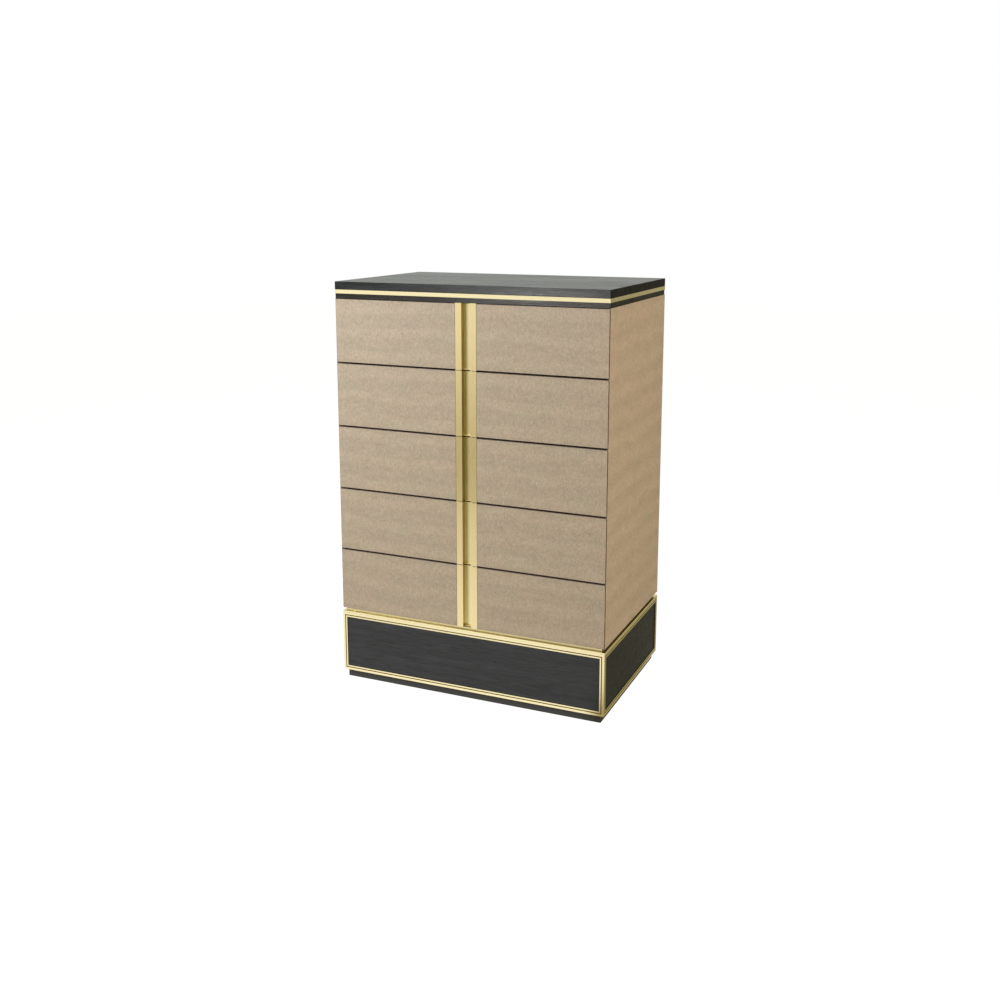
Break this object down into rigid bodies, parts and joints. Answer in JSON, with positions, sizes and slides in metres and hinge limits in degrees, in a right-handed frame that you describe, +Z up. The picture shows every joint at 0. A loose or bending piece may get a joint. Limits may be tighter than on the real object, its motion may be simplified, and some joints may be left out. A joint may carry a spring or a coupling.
{
  "type": "tallboy",
  "caption": "Tall chest of leather-faced drawers on slides, with a full-height brass channel pull, a black oak top with a brass line, and a brass-framed black oak plinth.",
  "frame": {"origin": "on the floor, under the middle of the cabinet", "axes": "+Z up, -Y out of the drawer fronts, +X to the right of someone who faces the drawers"},
  "size_m": [0.9, 0.56, 1.3],
  "materials": {
    "black_oak": "open-grain oak stained black, low sheen, grain along the length",
    "satin_brass": "satin brushed brass, brushed along the length",
    "shagreen_leather": "taupe leather with a fine pebbled, woven-looking grain, wrapped on board",
    "drawer_maple": "pale drawer wood, clear satin lacquer",
    "black_board": "board stained or painted black, matt",
    "runner_steel": "zinc-plated steel sheet"
  },
  "bodies": {
    "cabinet": {"top_slab": "black_oak", "top_brass_band": "satin_brass", "top_core": "black_board", "top_lower_band": "black_oak", "carcass_top": "black_board", "carcass_bottom": "black_board", "side_panel_left": "shagreen_leather", "side_panel_right": "shagreen_leather", "back_panel": "black_board", "neck_band": "satin_brass", "neck_core": "black_board", "base_ledge": "satin_brass", "base_frame_front": "satin_brass", "base_frame_left": "satin_brass", "base_frame_right": "satin_brass", "base_panel_front": "black_oak", "base_panel_left": "black_oak", "base_panel_right": "black_oak", "base_back_board": "black_board", "toe_kick": "black_board", "cabinet_runner_1_left": "runner_steel", "cabinet_runner_1_right": "runner_steel", "cabinet_runner_2_left": "runner_steel", "cabinet_runner_2_right": "runner_steel", "cabinet_runner_3_left": "runner_steel", "cabinet_runner_3_right": "runner_steel", "cabinet_runner_4_left": "runner_steel", "cabinet_runner_4_right": "runner_steel", "cabinet_runner_5_left": "runner_steel", "cabinet_runner_5_right": "runner_steel"},
    "drawer_1": {"drawer_1_front": "shagreen_leather", "drawer_1_handle": "satin_brass", "drawer_1_box": "drawer_maple", "drawer_1_bottom": "drawer_maple", "drawer_1_runner_left": "runner_steel", "drawer_1_runner_right": "runner_steel"},
    "drawer_2": {"drawer_2_front": "shagreen_leather", "drawer_2_handle": "satin_brass", "drawer_2_box": "drawer_maple", "drawer_2_bottom": "drawer_maple", "drawer_2_runner_left": "runner_steel", "drawer_2_runner_right": "runner_steel"},
    "drawer_3": {"drawer_3_front": "shagreen_leather", "drawer_3_handle": "satin_brass", "drawer_3_box": "drawer_maple", "drawer_3_bottom": "drawer_maple", "drawer_3_runner_left": "runner_steel", "drawer_3_runner_right": "runner_steel"},
    "drawer_4": {"drawer_4_front": "shagreen_leather", "drawer_4_handle": "satin_brass", "drawer_4_box": "drawer_maple", "drawer_4_bottom": "drawer_maple", "drawer_4_runner_left": "runner_steel", "drawer_4_runner_right": "runner_steel"},
    "drawer_5": {"drawer_5_front": "shagreen_leather", "drawer_5_handle": "satin_brass", "drawer_5_box": "drawer_maple", "drawer_5_bottom": "drawer_maple", "drawer_5_runner_left": "runner_steel", "drawer_5_runner_right": "runner_steel"}
  },
  "joints": [
    {"name": "drawer_1_slide", "type": "slide", "parent": "cabinet", "child": "drawer_1", "axis": [0, -1, 0], "range_m": [0, 0.34]},
    {"name": "drawer_2_slide", "type": "slide", "parent": "cabinet", "child": "drawer_2", "axis": [0, -1, 0], "range_m": [0, 0.34]},
    {"name": "drawer_3_slide", "type": "slide", "parent": "cabinet", "child": "drawer_3", "axis": [0, -1, 0], "range_m": [0, 0.34]},
    {"name": "drawer_4_slide", "type": "slide", "parent": "cabinet", "child": "drawer_4", "axis": [0, -1, 0], "range_m": [0, 0.34]},
    {"name": "drawer_5_slide", "type": "slide", "parent": "cabinet", "child": "drawer_5", "axis": [0, -1, 0], "range_m": [0, 0.34]}
  ]
}
